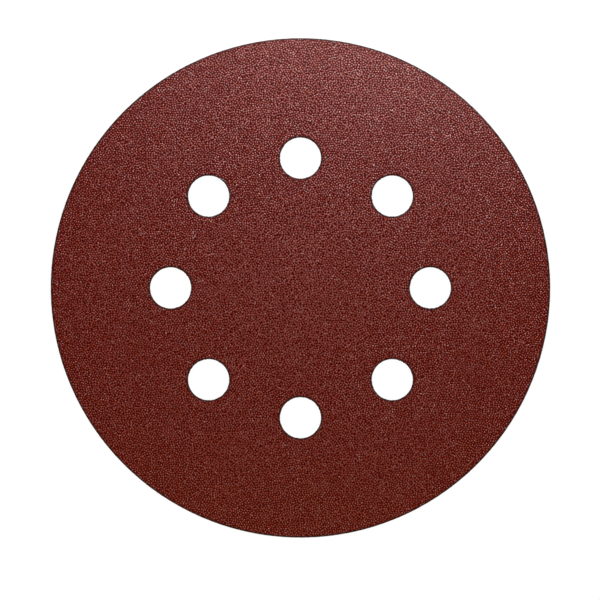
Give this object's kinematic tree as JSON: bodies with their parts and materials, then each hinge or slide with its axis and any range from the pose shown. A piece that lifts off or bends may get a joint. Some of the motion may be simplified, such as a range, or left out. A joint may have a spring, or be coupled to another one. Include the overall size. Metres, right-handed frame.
{
  "type": "sanding disc",
  "caption": "Round hook and loop sanding disc: red-brown abrasive grain on backing paper, loop fabric behind, and a ring of dust holes punched through.",
  "frame": {"origin": "centre of the disc, on the plane that its loops lie on", "axes": "+Z out of the grain side, +X and +Y each out through the centre of a dust hole"},
  "size_m": [0.125, 0.125, 0.0015],
  "materials": {
    "abrasive_grain": "rough grain in resin",
    "heavy_paper": "matte, cut edge",
    "loop_knit": "brushed loops"
  },
  "bodies": {
    "root": {"abrasive_coat": "abrasive_grain", "backing_paper": "heavy_paper", "loop_fabric": "loop_knit"}
  },
  "joints": []
}
